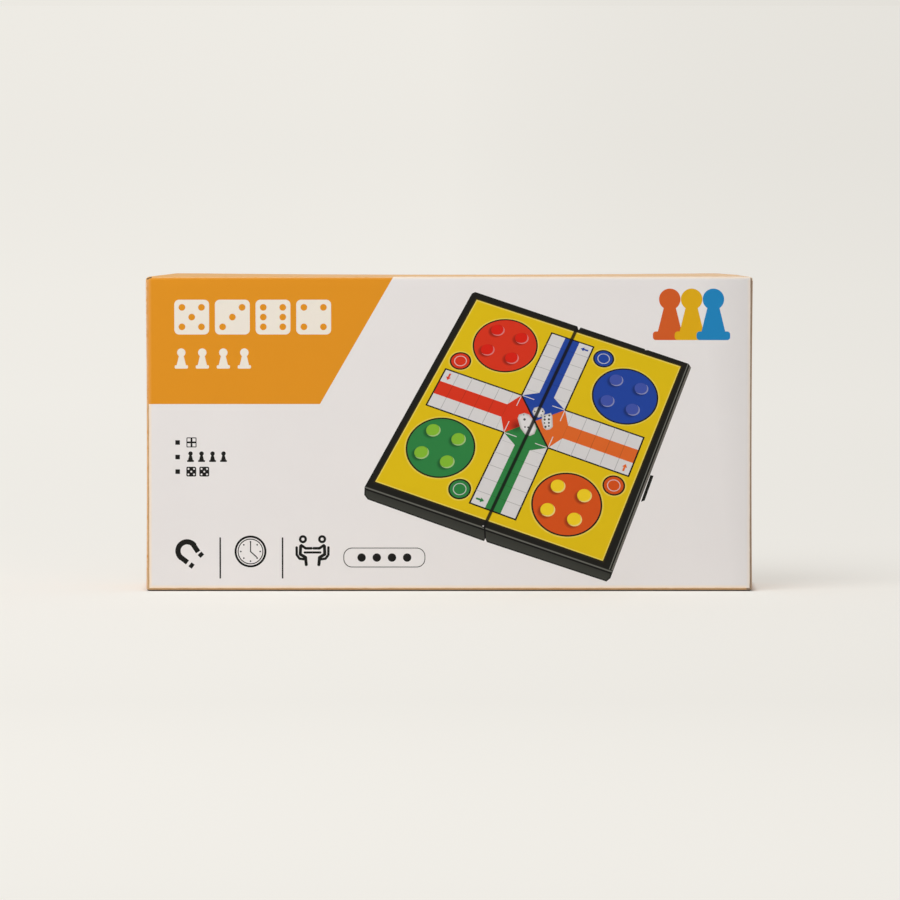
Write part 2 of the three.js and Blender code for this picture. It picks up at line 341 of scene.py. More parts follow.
def makeFloor():
    reach = studioReach
    corners = np.array([(-reach, -reach, 0), (reach, -reach, 0), (reach, reach, 0), (-reach, reach, 0)])
    paper = Finish("floorPaper")
    depth = paper.parts(paper.place)[1]
    share = depth / (abs(depth) + studio["depthHalf"]) * 0.5 + 0.5  # 0 in front, 1 behind
    # painted light: the seen colour is brighter and darker in bands by depth, standing in for the lamps'
    # pool
    seen = paper.node("ShaderNodeValToRGB", {"stops": studio["floorSeenPaintedLight"]}, {0: share})
    seen = paper.calc("MULTIPLY", seen, paintedShadeRight(paper, studio["fallNear"], studio["depthHalf"]))
    boxHalf = tuple(float(c) for c in (np.subtract(*cadBounds[::-1]) / 2))
    x, y = paper.parts(abs(paper.place) - boxHalf)[:2]
    outside = paper.clamped(paper.calc("MAXIMUM", x, y), 1 / studio["contact"])
    lit = paper.node("ShaderNodeBsdfDiffuse", {}, {"Color": studio["floor"]})
    plain = paper.node("ShaderNodeEmission", {}, {"Color": seen})
    away = paper.calc("LENGTH", paper.place)
    rise = away / (away + studio["plainHalf"]) * (studio["plainFar"] - studio["plainNear"])
    mask = rayShown(paper) * outside * (rise + studio["plainNear"])
    both = paper.node("ShaderNodeMixShader", {}, {0: mask, 1: lit, 2: plain})
    paper.node("ShaderNodeOutputMaterial", {}, {"Surface": both})
    meshPiece("floor", corners, [np.array([(0, 1, 2, 3)])], [paper.material], smooth=False)


sharpAngle = math.radians(38)  # edges that turn further than this are shaded as edges


def meshPiece(name, points, faceSets, finishes, slots=None, smooth=True):
    mesh = bpy.data.meshes.new(name)
    mesh.from_pydata(points.tolist(), [], [face for faces in faceSets for face in faces.tolist()])
    for finish in finishes:
        mesh.materials.append(finish)
    if slots is not None:
        mesh.polygons.foreach_set("material_index", slots.astype(np.int32))
    mesh.polygons.foreach_set("use_smooth", np.full(len(mesh.polygons), smooth))
    mesh.set_sharp_from_angle(angle=sharpAngle)
    mesh.update()
    piece = bpy.data.objects.new(name, mesh)
    bpy.context.scene.collection.objects.link(piece)
    return piece


bpy.context.scene.view_settings.view_transform = "Standard"
makeWorld()
for lampName, lampValues in lamps.items():
    makeLamp(lampName, *lampValues)
makeFloor()
print("studio ready")


# the ludo sheet: every measure is a share of the sheet's side, from its middle
ludo = {
    "armHalf": 0.1008, "armEnd": 0.461, "lane": 0.034, "cell": 0.0645, "flareStart": 0.141,
    "home": (0.2683, 0.3176), "homeRadius": 0.1455, "small": (0.4183, 0.164), "smallRadius": 0.0472,
    "ringRadius": 0.02596, "ringShare": 0.75, "line": 0.0068, "rule": 0.0026, "thin": 0.00182,
    "halo": 0.008, "haloShare": 0.7, "pawn": 0.0583, "shaft": (0.4315, 0.0735),
    "shaftHalf": (0.0042, 0.012, 0.002), "arrowHead": ((0.4315, 0.0495), (0.4425, 0.0655), (0.4205, 0.0655)),
    "laneRule": 0.3, "tickFrom": 0.042, "diagonal": 0.0051,
    "ground": ink(222, 188, 14), "pale": ink(236, 216, 112), "white": ink(215, 212, 212),
    "dark": ink(26, 21, 14), "grey": ink(170, 168, 168), "red": ink(214, 51, 26),
    "blue": ink(31, 66, 156), "orange": ink(220, 102, 38), "green": ink(44, 126, 64),
    "homeOrange": ink(210, 80, 22),
}


def ludoCorner(finish, u, v):  # the sheet's four quarters, turned onto one another
    absU, absV = abs(u), abs(v)
    same = (u * v) > 0.0
    s = absV + (absU - absV) * same
    return finish.joined(s, 0.0, absU + absV - s)


def ludoQuarter(finish, u, v, red, blue, orange, green):  # the colour of each quarter's own player
    right = u > 0.0
    return finish.mix(v > 0.0, finish.mix(right, red, blue), finish.mix(right, green, orange))


# The traditional cross: arms of three lanes, the middle one coloured and flared into the centre
# square, whose four triangles meet in the middle, and a home circle in each quarter
def ludoPattern(finish, u, v):
    mix = finish.mix
    red, blue, orange, green = ludo["red"], ludo["blue"], ludo["orange"], ludo["green"]
    line, rule = ludo["line"], ludo["rule"]
    corner = ludoCorner(finish, u, v)
    own = ludoQuarter(finish, u, v, red, blue, ludo["homeOrange"], green)
    homeGap = finish.calc("DISTANCE", corner, at(*ludo["home"]))
    smallGap = finish.calc("DISTANCE", corner, at(*ludo["small"]))
    colour = ludo["ground"]
    for gap, radius in ((homeGap, ludo["homeRadius"]), (smallGap, ludo["smallRadius"])):
        halo = finish.clamped(radius + ludo["halo"] - gap, 1 / ludo["halo"])
        colour = mix(halo * ludo["haloShare"], colour, ludo["pale"])
        colour = mix(gap < radius, colour, ludo["dark"])
        colour = mix(gap < radius - line, colour, own)
    ringed = abs(smallGap - ludo["ringRadius"]) < ludo["thin"]
    colour = mix(ringed * ludo["ringShare"], colour, ludo["white"])
    absU, absV = abs(u), abs(v)
    lane = mix(absV > absU, mix(u > 0.0, red, orange), mix(v > 0.0, blue, green))
    along = finish.calc("MAXIMUM", absU, absV)
    across = finish.calc("MINIMUM", absU, absV)
    half, end = ludo["armHalf"], ludo["armEnd"]
    colour = mix((across < half + line / 2) & (along < end + line / 2), colour, ludo["dark"])
    colour = mix((across < half - line / 2) & (along < end - line / 2), colour, ludo["white"])
    steps = finish.calc("PINGPONG", end - along, ludo["cell"] / 2)
    ruled = (steps < rule / 2) & (along < end - line) & (along > ludo["flareStart"] - rule)
    colour = mix(ruled & (across < half), colour, ludo["grey"])
    arrow = finish.slab(corner, at(*ludo["shaft"]), *ludo["shaftHalf"])
    arrow = arrow | finish.polygon(corner, *ludo["arrowHead"])
    colour = mix(arrow, colour, lane)
    flare = finish.clamped(ludo["flareStart"] - along, 1 / (ludo["flareStart"] - half))
    width = flare * (half - ludo["lane"]) + ludo["lane"]
    laned = (across < width) & (along < end - line / 2)
    colour = mix(laned | (along < half), colour, lane)
    inLane = ruled & laned & (across < ludo["lane"])
    colour = mix(inLane, colour, mix(ludo["laneRule"], lane, ludo["dark"]))
    ticks = (abs(along - half) < ludo["thin"]) & (across > ludo["tickFrom"]) & (across < half - rule)
    colour = mix(ticks, colour, ludo["white"])
    diagonal = (abs(u - v) < ludo["diagonal"]) & (along < half)
    return mix(diagonal, colour, ludo["dark"])


# the print on the lid's front, in pixels of the straight front view
fold = {
    "left": 149.0, "right": 750.0, "top": 276.2, "bottom": 588.4, "crestWearAndHighlight": 3.2, "foot": 590.1,
    "dentShade": ((147.6, 278.9), (151.6, 277.4)), "dentShadeWidth": 1.3,
}
board = {
    "view": ((473.9, 299.3), (680.6, 368.5), (605.1, 562.5), (376.5, 478.2)),
    "sheet": ((476.7, 299.6), (680.5, 366.4), (603.0, 561.3), (375.2, 481.7)),
    "outline": ((471.9, 293.4), (475.2, 291.9), (688.3, 363.6), (691.0, 367.5), (610.6, 578.6),
                (606.6, 582.0), (485.3, 541.9), (367.6, 499.6), (364.2, 495.0), (364.5, 487.2)),
    "paleEdge": 1.5, "lipEdgeReach": 0.45, "lipReach": 1.7,
    "lowShine": ((606.0, 570.1), (366.0, 487.7)), "shineHalf": 1.1, "deepFrom": 0.6, "sideFrom": 2.4,
    "sideFade": 12, "rimReach": 1.8, "rimShare": 0.7,
    "endEdge": ((691.0, 367.5), (610.6, 578.6)), "endFrom": 1.5,
    "endBands": ((4.6, "shine"), (3.7, "black"), (2.1, "endShine")),
    "seam": ((576.5, 329.0), (485.0, 525.0)), "seamHalf": 2.1, "seamFade": 1.2, "seamShare": 0.95,
    "seamFoot": ((484.6, 526.0), (485.3, 540.5)), "seamFootWidth": 1.5,
    "spark": (483.2, 526.3), "sparkRadius": 0.75, "sparkShare": 0.8,
    "topNotch": ((576.9, 325.3), (580.9, 326.9), (578.5, 330.0)),
    "lowNotch": ((485.4, 538.8), (487.3, 543.5), (483.5, 542.6)),
    "catch": ((650.4, 475.2), (653.6, 475.9), (644.8, 500.6), (641.0, 502.0)),
    "pawnRadius": 0.0305, "pawnFace": 0.0274, "pawnLean": (-0.0045, -0.0053),
    "faceShift": (-0.0028, -0.0014), "darkShift": 2.4, "rimLight": 0.3,
    "shadeShift": (-0.0068, 0.0105), "shadeSoft": 0.011, "shadeShare": 0.5,
    "black": ink(22, 21, 17), "deep": ink(8, 8, 7), "side": ink(47, 48, 43),
    "sideFoot": ink(61, 62, 57), "shine": ink(108, 108, 101), "endShine": ink(104, 100, 93),
    "lip": ink(38, 31, 14), "lipEdge": ink(84, 70, 8), "red": ink(215, 30, 14),
    "blue": ink(64, 82, 166), "lime": ink(130, 184, 50), "yellow": ink(238, 203, 34),
}


def printSpot(finish):  # a place on the front as (right, 0, down), in pixels of the front view
    scale = photo["pixelsPerMetre"]
    return finish.place * (scale, 0.0, -scale) + (photo["middleX"], 0.0, photo["floorY"])


def sheetShares(finish, spot, corners):
    # the flat view in which the four corners of a square are seen there: eight equations
    rows, answers = [], []
    for (x, y), (u, v) in zip(corners, ((-0.5, -0.5), (0.5, -0.5), (0.5, 0.5), (-0.5, 0.5))):
        rows += [[x, y, 1, 0, 0, 0, -u * x, -u * y], [0, 0, 0, x, y, 1, -v * x, -v * y]]
        answers += [u, v]
    a, b, c, d, e, f, g, h = np.linalg.solve(rows, answers).tolist()
    below = finish.calc("DOT_PRODUCT", spot, at(g, h)) + 1.0
    u = (finish.calc("DOT_PRODUCT", spot, at(a, b)) + c) / below
    v = (finish.calc("DOT_PRODUCT", spot, at(d, e)) + f) / below
    return u, v


def pawnGap(finish, u, v):  # how far the nearest of the sixteen pawns is, in shares of the sheet
    fromHome = abs(ludoCorner(finish, u, v) - at(*ludo["home"]))
    return finish.calc("DISTANCE", fromHome, at(ludo["pawn"], ludo["pawn"]))


# The board lies open in the picture: a black case with a raised lip round the sheet, its two
# sides towards the viewer, and a shine along their edges
def boardPicture(finish, spot, colour):
    mix = finish.mix
    u, v = sheetShares(finish, spot, board["view"])
    depth = finish.depthIn(spot, *board["outline"])
    body = depth > 0.0
    fromSheet = finish.depthIn(spot, *board["sheet"])
    colour = mix(body, colour, board["black"])
    colour = mix(body & (fromSheet > -board["lipReach"]), colour, board["lip"])
    colour = mix(body & (fromSheet > -board["lipEdgeReach"]), colour, board["lipEdge"])
    low = finish.besides(spot, *places(board["lowShine"]))
    side = mix(finish.clamped(0.0 - low, 1 / board["sideFade"]), board["side"], board["sideFoot"])
    side = mix(finish.clamped(board["rimReach"] - depth) * board["rimShare"], side, board["deep"])
    colour = mix(body & (low < -board["sideFrom"]), colour, side)
    colour = mix(body & (low < -board["deepFrom"]) & (low > -board["sideFrom"]), colour, board["deep"])
    colour = mix(body * finish.clamped(board["shineHalf"] - abs(low)), colour, board["shine"])
    end = finish.besides(spot, *places(board["endEdge"]))
    onEnd = body & (low > board["endFrom"])
    for reach, tone in board["endBands"]:
        colour = mix(onEnd & (end < reach), colour, board[tone])
    pale = finish.clamped(board["paleEdge"] - fromSheet) * ludo["haloShare"]
    colour = mix(fromSheet > 0.0, colour, mix(pale, ludoPattern(finish, u, v), ludo["pale"]))
    return colour, u, v


def boardPawns(finish, colour, u, v):
    mix = finish.mix
    radius, soft, rimLight = board["pawnRadius"], board["shadeSoft"], board["rimLight"]

    def gap(shift, share=1.0):  # from the pawns' outlines as they lean, shifted
        (leanU, leanV), (shiftU, shiftV) = board["pawnLean"], shift
        return pawnGap(finish, u - leanU - share * shiftU, v - leanV - share * shiftV)

    shade = finish.clamped((radius + 0.5 * soft) - gap(board["shadeShift"]), 1 / soft)
    colour = mix(shade * board["shadeShare"], colour, board["deep"])
    own = ludoQuarter(finish, u, v, board["red"], board["blue"], board["yellow"], board["lime"])
    whole = gap((0.0, 0.0)) < radius
    face = gap(board["faceShift"])
    colour = mix(whole, colour, mix(rimLight, own, ludo["white"]))
    dark = gap(board["faceShift"], board["darkShift"]) < radius
    colour = mix(whole & dark, colour, mix(rimLight, own, board["black"]))
    return mix(face < board["pawnFace"], colour, own)


# The two dice beside the fold, each a many-sided outline with its pips
dice = {
    "near": ((517.6, 418.2), (519.0, 414.6), (524.4, 412.9), (529.3, 414.6), (533.4, 420.0), (536.5, 428.8),
             (534.4, 434.0), (530.0, 436.0), (525.0, 434.4), (520.4, 428.2)),
    "far": ((532.3, 411.6), (534.2, 407.8), (538.5, 406.6), (543.0, 408.4), (545.0, 411.8), (543.4, 416.0),
            (538.6, 417.6), (534.0, 415.8)),
    "block": ((542.0, 415.4), (550.8, 412.9), (552.4, 416.2), (552.9, 426.8), (550.2, 429.3), (546.3, 430.2),
              (543.4, 427.8), (541.6, 421.0)),
    "nearPips": ((524.5, 419.4, 1.25), (525.0, 427.0, 0.85), (528.2, 427.4, 0.95), (523.8, 414.9, 0.6)),
    "farPips": ((534.8, 411.4, 0.75), (542.6, 411.4, 0.75), (538.4, 408.8, 0.6), (541.2, 415.0, 0.6)),
    "blockPips": ((544.8, 416.7, 0.9), (549.3, 415.5, 1.0), (544.7, 419.5, 1.15), (548.9, 419.3, 1.15),
                  (544.5, 423.0, 0.8), (548.9, 422.8, 1.05), (545.5, 426.8, 1.15), (548.8, 426.0, 0.95)),
    "shadeAt": (516.6, 426.0), "shadeReach": 8.0, "shadeFade": 0.1, "shadeShare": 0.85,
    "edgeFade": 0.4, "pipShare": 0.9, "pale": ink(222, 219, 219), "dull": ink(186, 180, 178),
}


def boardDice(finish, spot, colour):
    mix = finish.mix
    shade = finish.calc("DISTANCE", spot, at(*dice["shadeAt"]))
    shade = finish.clamped(dice["shadeReach"] - shade, dice["shadeFade"])
    colour = mix(shade * dice["shadeShare"], colour, board["deep"])
    for name in ("near", "far", "block"):
        depth = finish.depthIn(spot, *dice[name])
        tone = mix(finish.clamped(depth, dice["edgeFade"]), dice["dull"], dice["pale"])
        colour = mix(depth > 0.0, colour, tone)
        for x, y, radius in dice[name + "Pips"]:
            pip = finish.disc(spot, at(x, y), radius) * dice["pipShare"]
            colour = mix(pip, colour, board["deep"])
    return colour


def boardSeam(finish, spot, colour):
    mix = finish.mix
    body = finish.polygon(spot, *board["outline"])
    low = finish.besides(spot, *places(board["lowShine"]))
    seam = abs(finish.besides(spot, *places(board["seam"])))
    seam = finish.clamped(board["seamHalf"] - seam, board["seamFade"]) * body * (low > 0.0)
    colour = mix(seam * board["seamShare"], colour, board["deep"])
    foot = finish.stroke(spot, *places(board["seamFoot"]), board["seamFootWidth"])
    colour = mix(foot, colour, board["deep"])
    spark = finish.disc(spot, at(*board["spark"]), board["sparkRadius"])
    colour = mix(spark * board["sparkShare"], colour, ludo["white"])
    notches = finish.polygon(spot, *board["topNotch"]) | finish.polygon(spot, *board["lowNotch"])
    colour = mix(notches, colour, front["white"])
    return mix(finish.polygon(spot, *board["catch"]), colour, board["black"])


# the front's ground and the colours of its signs
front = {
    "orange": ink(226, 147, 31), "cardOrange": ink(226, 145, 15), "white": ink(235, 231, 230),
    "mottled": (0.985, 1.012), "panelShadeFrom": 698.0, "panelShadeReach": 50.0, "panelShadeLean": 34.0, "panelShaded": 0.885,
    "slant": ((393.3, 277.0), (320.0, 404.0)), "orangeFoot": 404.0,
    "ragged": 0.6, "worn": ink(236, 214, 186), "wornShare": 0.25, "tan": ink(190, 149, 104),
    "shadedRightTan": ink(140, 116, 96), "slantTan": 0.75, "crestWearAndHighlight": ink(254, 234, 212),
    "crestHighlightAndWear": ink(253, 228, 198), "crestHighlightShare": 0.9, "crestHighlightSlant": 0.8, "crestHighlightRight": 0.4,
    "footShadow": ink(52, 28, 10), "footShadowFade": 1.25, "dentShade": ink(96, 74, 46), "dentShadeShare": 0.8,
    "ink": ink(22, 21, 19), "offWhite": ink(240, 232, 220), "motifOrange": ink(210, 92, 36),
    "motifYellow": ink(224, 172, 18), "motifBlue": ink(30, 132, 190),
}


def dentShadeMask(finish, spot):  # the knock at the upper left corner: painted shade of the dent, as a dark stroke
    return finish.stroke(spot, *places(fold["dentShade"]), fold["dentShadeWidth"])


def onSlant(finish, spot):  # the side of the slanting line on which the print is orange
    return finish.besides(spot, *places(front["slant"])) > 0.0


def frontGround(finish, spot):  # the white panel, the orange corner and the turned edges
    mix = finish.mix
    x, y = finish.parts(spot)[::2]
    # painted shade: the white greys towards the right fold, along a slanting line, as if the lamp's light
    # fell off there
    lean = finish.clamped(y - fold["top"], 1 / (fold["bottom"] - fold["top"])) * front["panelShadeLean"]
    panelRightShade = finish.clamped(x - front["panelShadeFrom"] - lean, 1 / front["panelShadeReach"])
    white = finish.mottled(46, 3, front["white"], *front["mottled"])
    white = mix(panelRightShade, white, shaded(front["white"], front["panelShaded"]))
    slant = onSlant(finish, spot) & (y < front["orangeFoot"])
    colour = mix(slant, white, front["orange"])
    inX = finish.calc("MINIMUM", x - fold["left"], fold["right"] - x)
    inY = finish.calc("MINIMUM", y - fold["top"], fold["bottom"] - y)
    ragged = finish.noise(260, 3) * front["ragged"] - front["ragged"] / 2
    inFold = finish.calc("MINIMUM", inX, inY) + ragged
    crestWearAndHighlight = finish.clamped(fold["crestWearAndHighlight"] - inFold, 1 / fold["crestWearAndHighlight"])
    # painted shade: the right fold, turned away from the lamp, takes a darker, greyer tan and a weaker crest
    # highlight
    atRight = x > fold["right"] - fold["crestWearAndHighlight"]
    tan = mix(atRight, front["tan"], front["shadedRightTan"])
    tan = mix(slant * front["slantTan"], tan, front["orange"])
    # painted highlight, partly worn print: a pale line along the crest of each fold, fainter over the orange
    # and at the shaded right
    crestHighlightAndWear = front["crestHighlightShare"] - slant * front["crestHighlightSlant"] - atRight * front["crestHighlightRight"]
    colour = mix(crestWearAndHighlight * crestHighlightAndWear, colour, front["crestHighlightAndWear"])
    edge = mix(finish.noise(500, 3) * front["wornShare"], tan, front["worn"])
    colour = mix(inFold < 0.0, colour, edge)
    # painted shadow: the foot of the front darkens to a dark brown line where the box meets the floor
    colour = mix(finish.clamped(y - fold["foot"], front["footShadowFade"]), colour, front["footShadow"])
    # painted shade of the dent at the knocked corner
    return mix(dentShadeMask(finish, spot) * front["dentShadeShare"], colour, front["dentShade"])


film = {"relief": (1500, 4, 0.12, 0.00003), "rough": (70, 2, 0.1, 0.4), "coatRough": 0.25}


def cardFinish(finish, colour, coat=0.03, sheen=0.12):
    return finish.done(film["relief"], Base_Color=colour, Roughness=finish.spread(*film["rough"]),
                       Specular_IOR_Level=sheen, Coat_Weight=coat, Coat_Roughness=film["coatRough"])


# the signs are built from shares of their own size
pawnShape = {"headUp": 0.8, "head": 0.21, "neckUp": 0.75, "neck": 0.09, "skirtUp": 0.1, "skirt": 0.25,
             "foot": 0.33, "footUp": 0.085, "footCorner": 0.06}
dieShape = {"corner": 0.28, "gap": 0.56, "pip": 0.19}


def pawnSign(finish, spot, x, y, size):  # a pawn's outline, its foot's middle at x, y
    shape = {name: size * share for name, share in pawnShape.items()}
    neck, neckY, skirt, skirtY = shape["neck"], y - shape["neckUp"], shape["skirt"], y - shape["skirtUp"]
    head = finish.disc(spot, at(x, y - shape["headUp"]), shape["head"])
    body = finish.polygon(spot, (x - neck, neckY), (x + neck, neckY),
                          (x + skirt, skirtY), (x - skirt, skirtY))
    foot = finish.slab(spot, at(x, y - shape["footUp"]), shape["foot"], shape["footUp"], shape["footCorner"])
    return head | body | foot


def pawnRow(finish, spot, row):  # equal pawns side by side
    folded, reach = finish.repeated(spot, at(*row["pawn"]), row["pawnStep"], row["pawns"])
    return pawnSign(finish, folded, *row["pawn"], row["pawnSize"]) & reach


def dieSign(finish, spot, x, y, half, pips):  # a die's outline and its pips
    face = finish.slab(spot, at(x, y), half, half, half * dieShape["corner"])
    local = spot - at(x, y)
    mirrored = abs(local)
    gap, size = half * dieShape["gap"], half * dieShape["pip"]
    dots = finish.disc(mirrored, at(gap, gap), size) if pips >= 4 else (
        finish.disc(local, at(gap, -gap), size) | finish.disc(local, at(-gap, gap), size))
    if pips % 2:
        dots = dots | finish.disc(local, at(0, 0), size)
    if pips == 6:
        dots = dots | finish.disc(mirrored, at(gap, 0), size)
    return face, dots


def turnedBar(start, end, width):  # the four corners of a straight bar, clockwise as seen
    start, end = np.array(start), np.array(end)
    along = (end - start) / np.linalg.norm(end - start)
    across = np.array([-along[1], along[0]]) * width / 2
    corners = [start - across, end - across, end + across, start + across]
    return [tuple(float(c) for c in corner) for corner in corners]


# a horseshoe open to the lower right: its bow, then two arms and two tips apart from them
magnet = {
    "centre": (186.8, 551.2), "radius": 9.1, "width": 5.3, "over": 1.6, "barWidth": 5.1,
    "bars": (((192.3, 543.8), (197.9, 552.3)), ((199.2, 553.6), (202.1, 556.6)),
             ((179.6, 556.9), (187.2, 562.8)), ((189.7, 564.7), (192.9, 567.1))),
}


def magnetSign(finish, spot):
    slope = math.sqrt(0.5)
    centre = at(*magnet["centre"])
    away = finish.calc("DOT_PRODUCT", spot - centre, at(slope, slope))
    sign = finish.ring(spot, centre, magnet["radius"], magnet["width"]) & (away < magnet["over"])
    for start, end in magnet["bars"]:
        sign = sign | finish.polygon(spot, *turnedBar(start, end, magnet["barWidth"]))
    return sign


clock = {
    "centre": (250.3, 551.8), "rings": ((14.9, 2.1), (12.4, 1.0)), "marks": ((9.7, 0), (0, 9.7), (6.7, 6.7)),
    "markRadius": 0.8, "hands": ((250.4, 542.5), (256.4, 557.4)), "handWidth": 1.1,
}


def clockSign(finish, spot):
    centre = at(*clock["centre"])
    outer, inner = (finish.ring(spot, centre, *ring) for ring in clock["rings"])
    sign = outer | inner
    around = abs(spot - centre)
    for mark in places(clock["marks"]):
        sign = sign | finish.disc(around, mark, clock["markRadius"])
    for hand in places(clock["hands"]):
        sign = sign | finish.stroke(spot, centre, hand, clock["handWidth"])
    return sign


# two seated players at a table: the width and the points of each stroke of the left one
players = {
    "middle": 312.4, "head": (302.8, 539.5), "headRing": (2.8, 2.5),
    "strokes": ((2.6, (301.2, 545.6), (305.4, 548.6), (311.2, 548.6)),
                (3.1, (300.5, 546.6), (300.1, 554.6), (305.4, 557.8), (306.1, 565.0)),
                (2.5, (296.5, 547.8), (296.6, 555.2), (299.4, 559.0), (303.8, 559.6)),
                (2.2, (304.6, 552.8), (312.4, 552.8))),
}


def playersSign(finish, x, y):  # the right one is the mirror of the left
    middle = players["middle"]
    half = finish.joined(abs(x - middle), 0.0, y)

    def near(px, py):
        return at(middle - px, py)

    sign = finish.ring(half, near(*players["head"]), *players["headRing"])
    for width, *points in players["strokes"]:
        sign = sign | finish.strokes(half, width, *(near(*point) for point in points))
    return sign


# the small signs beside the bullets
contents = {
    "sheet": (191.5, 442.4), "outer": (5.0, 5.0, 0.8), "inner": (4.1, 4.1, 0.4),
    "bar": (4.4, 0.9), "barCorner": 0.1,
    "pawn": (190.5, 462.0), "pawnStep": 11.0, "pawns": 4, "pawnSize": 10.5,
    "die": (191.2, 471.7), "dieStep": 13.0, "dice": 2, "dieHalf": 4.9, "pips": 5,
}


def contentsSign(finish, spot):  # the board, four pawns and two dice
    middle = at(*contents["sheet"])
    length, width = contents["bar"]
    outer = finish.slab(spot, middle, *contents["outer"])
    inner = finish.slab(spot, middle, *contents["inner"])
    cross = finish.slab(spot, middle, length, width, contents["barCorner"])
    cross = cross | finish.slab(spot, middle, width, length, contents["barCorner"])
    sign = (outer & (1.0 - inner)) | cross | pawnRow(finish, spot, contents)
    pair, reach = finish.repeated(spot, at(*contents["die"]), contents["dieStep"], contents["dice"])
    face, dots = dieSign(finish, pair, *contents["die"], contents["dieHalf"], contents["pips"])
    return sign | (face & (1.0 - dots) & reach)


signs = {
    "dice": ((192.0, 5), (232.6, 3), (273.2, 6), (313.8, 4)), "diceY": 317.0, "dieHalf": 17.4,
    "pawn": (181.5, 368.5), "pawnStep": 21.0, "pawns": 4, "pawnSize": 20.0,
    "bullet": (177.6, 442.5), "bulletStep": 14.6, "bullets": 3, "bulletForm": (2.3, 2.3, 0.4),
    "dividers": (220.0, 282.4), "dividerY": 558.3, "dividerHalf": (0.75, 20.6),
    "label": (384.3, 557.9), "labelOuter": (41.0, 9.9, 8.6), "labelInner": (40.2, 9.1, 7.9),
    "dot": (361.5, 557.9), "dotStep": 15.2, "dots": 4, "dotRadius": 4.2,
    "motif": ((669.5, "motifOrange"), (691.3, "motifYellow"), (713.1, "motifBlue")), "motifY": 340.0,
    "motifSize": 51.0,
}


def makeFrontSigns():
    finish = Finish("frontSigns")
    mix = finish.mix
    spot = printSpot(finish)
    colour = frontGround(finish, spot)
    for x, pips in signs["dice"]:
        face, dots = dieSign(finish, spot, x, signs["diceY"], signs["dieHalf"], pips)
        colour = mix(face, colour, front["offWhite"])
        colour = mix(dots, colour, front["orange"])
    colour = mix(pawnRow(finish, spot, signs), colour, front["offWhite"])
    bullet = at(*signs["bullet"])
    column, reach = finish.repeated(spot, bullet, signs["bulletStep"], signs["bullets"], down=True)
    colour = mix(finish.slab(column, bullet, *signs["bulletForm"]) & reach, colour, front["ink"])
    for sign in (contentsSign, magnetSign, clockSign):
        colour = mix(sign(finish, spot), colour, front["ink"])
    x, y = finish.parts(spot)[::2]
    thin, tall = signs["dividerHalf"]
    left, right = (abs(x - divider) < thin for divider in signs["dividers"])
    colour = mix((left | right) & (abs(y - signs["dividerY"]) < tall), colour, front["ink"])
    return cardFinish(finish, mix(playersSign(finish, x, y), colour, front["ink"]))


def makeFrontPicture():
    finish = Finish("frontPicture")
    mix = finish.mix
    spot = printSpot(finish)
    colour = frontGround(finish, spot)
    for form, tone in (("labelOuter", "ink"), ("labelInner", "white")):
        colour = mix(finish.slab(spot, at(*signs["label"]), *signs[form]), colour, front[tone])
    row, reach = finish.repeated(spot, at(*signs["dot"]), signs["dotStep"], signs["dots"])
    colour = mix(finish.disc(row, at(*signs["dot"]), signs["dotRadius"]) & reach, colour, front["ink"])
    colour, u, v = boardPicture(finish, spot, colour)
    colour = boardPawns(finish, colour, u, v)
    colour = boardDice(finish, spot, colour)
    return cardFinish(finish, boardSeam(finish, spot, colour))


def makeFrontMotif():
    finish = Finish("frontMotif")
    spot = printSpot(finish)
    colour = frontGround(finish, spot)
    for x, tone in signs["motif"]:
        sign = pawnSign(finish, spot, x, signs["motifY"], signs["motifSize"])
        colour = finish.mix(sign, colour, front[tone])
    return cardFinish(finish, colour)


# how far a place on a box-shaped card is from its nearest fold: of the three distances in from
# the box's faces the smallest is about nothing, and the second is the one wanted
def foldGap(finish, node):
    low, high = boxOf(node)
    middle = tuple(float(c) for c in (low + high) / 2)
    half = tuple(float(c) for c in (high - low) / 2)
    x, y, z = finish.parts(half - abs(finish.place - middle))
    inner = finish.calc("MINIMUM", finish.calc("MAXIMUM", x, z), y)
    return finish.calc("MAXIMUM", finish.calc("MINIMUM", x, z), inner)


wear = {
    "mottled": (0.93, 1.05), "scuff": (420, 5, 0.6, 6.0), "patch": (30, 2, 0.45, 4.0),
    "scuffShare": 0.5, "edge": 0.0009, "edgeRise": 2000.0, "grain": (500, 4, 0.25, 4.0),
    "edgeShare": 0.85,
}


def sidesColour(finish, node):
    mix = finish.mix
    colour = finish.mottled(24, 3, front["cardOrange"], *wear["mottled"])
    scuff = finish.patches(*wear["scuff"]) * finish.patches(*wear["patch"])
    colour = mix(scuff * wear["scuffShare"], colour, front["worn"])
    edge = finish.clamped(wear["edge"] - foldGap(finish, node), wear["edgeRise"])
    edge = edge * finish.patches(*wear["grain"])
    return mix(edge * wear["edgeShare"], colour, front["crestWearAndHighlight"])


# the lid's walls: a pale painted highlight, partly worn print, on the crest of the top fold, a top painted
# paler as painted sheen, a painted shadow along the foot, painted shade at the dented corner and on the
# right wall by the front; the film's gloss grows from left to right
walls = {
    "foldFull": 0.0014, "foldRise": 2500.0, "topCrestHighlightShare": 0.95, "topCrestHighlightSlant": 0.85, "rightShadeShare": 0.7,
    "topFrom": 0.1332, "topPaintedSheen": ink(240, 178, 52), "topSheenShare": 0.5, "footShadowFull": 0.0005,
    "gloss": 0.41, "glossRise": 2.4, "trayGloss": 0.4, "sheen": 0.28,
}


